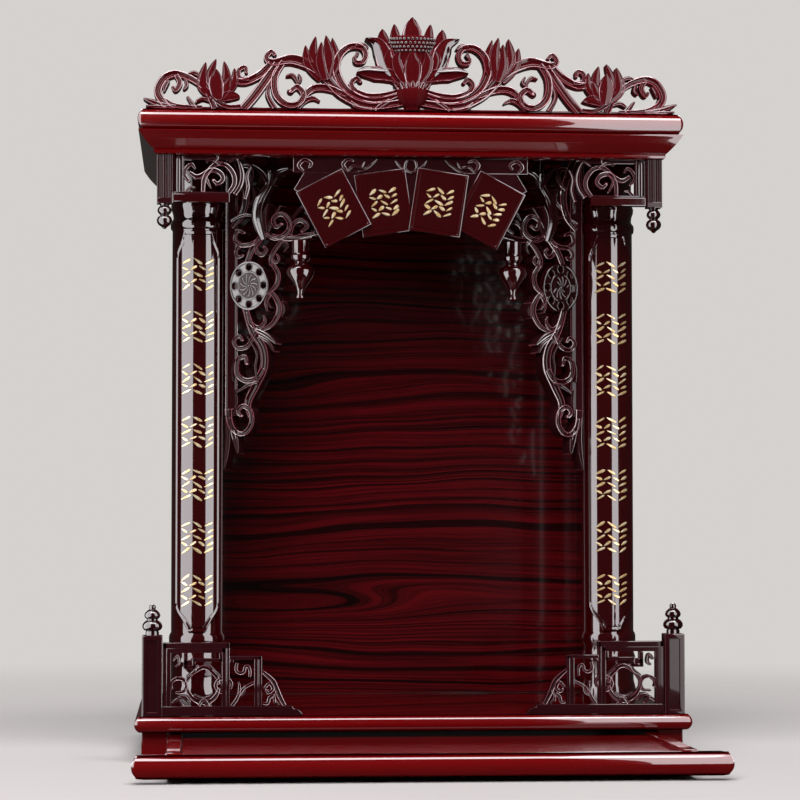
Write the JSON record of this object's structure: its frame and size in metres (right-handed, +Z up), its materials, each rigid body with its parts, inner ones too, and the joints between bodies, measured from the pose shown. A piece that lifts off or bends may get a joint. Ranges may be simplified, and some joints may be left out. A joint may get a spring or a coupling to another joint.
{
  "type": "household altar cabinet",
  "caption": "Open-fronted household altar cabinet with turned columns, carved lotus crest, canted openwork brackets and a pull-out offering tray.",
  "frame": {"origin": "on the ground, halfway between the drawn-out tray's front and the cabinet's back, on the middle line", "axes": "+Z up, the front of the cabinet faces -Y, +X to the right as seen from the front"},
  "size_m": [0.48, 0.498, 0.648],
  "materials": {
    "red_lacquer": "high-gloss oxblood lacquer over wood",
    "dark_lacquer": "gloss plum lacquer on carved wood, red where it is rubbed",
    "grained_lacquer": "gloss clear lacquer over stained wood with a bold horizontal grain",
    "gilt": "gilt paint on raised strokes"
  },
  "bodies": {
    "cabinet": {"base_side_left": "red_lacquer", "base_side_right": "red_lacquer", "base_back_rail": "red_lacquer", "base_board": "red_lacquer", "side_wall_left": "grained_lacquer", "side_wall_right": "grained_lacquer", "back_board": "grained_lacquer", "column_left": "red_lacquer", "column_right": "red_lacquer", "roof_slab": "red_lacquer", "cornice_front": "red_lacquer", "cornice_left": "red_lacquer", "cornice_right": "red_lacquer", "roof_back_rail": "red_lacquer", "hanging_post_left": "dark_lacquer", "hanging_post_right": "dark_lacquer", "head_panel_left": "dark_lacquer", "head_panel_right": "dark_lacquer", "lintel": "dark_lacquer", "name_tile_outer_left": "red_lacquer", "name_tile_inner_left": "red_lacquer", "name_tile_inner_right": "red_lacquer", "name_tile_outer_right": "red_lacquer", "bracket_left": "dark_lacquer", "bracket_right": "dark_lacquer", "pendant_left": "red_lacquer", "pendant_right": "red_lacquer", "crest": "dark_lacquer", "railing_post_left": "dark_lacquer", "railing_post_right": "dark_lacquer", "railing_left": "dark_lacquer", "railing_right": "dark_lacquer"},
    "tray": {"tray_front_rail": "red_lacquer", "tray_panel": "grained_lacquer", "tray_side_rail_left": "red_lacquer", "tray_side_rail_right": "red_lacquer"}
  },
  "joints": [
    {"name": "tray_slide", "type": "slide", "parent": "cabinet", "child": "tray", "axis": [0, -1, 0], "range_m": [-0.187, 0.03]}
  ]
}
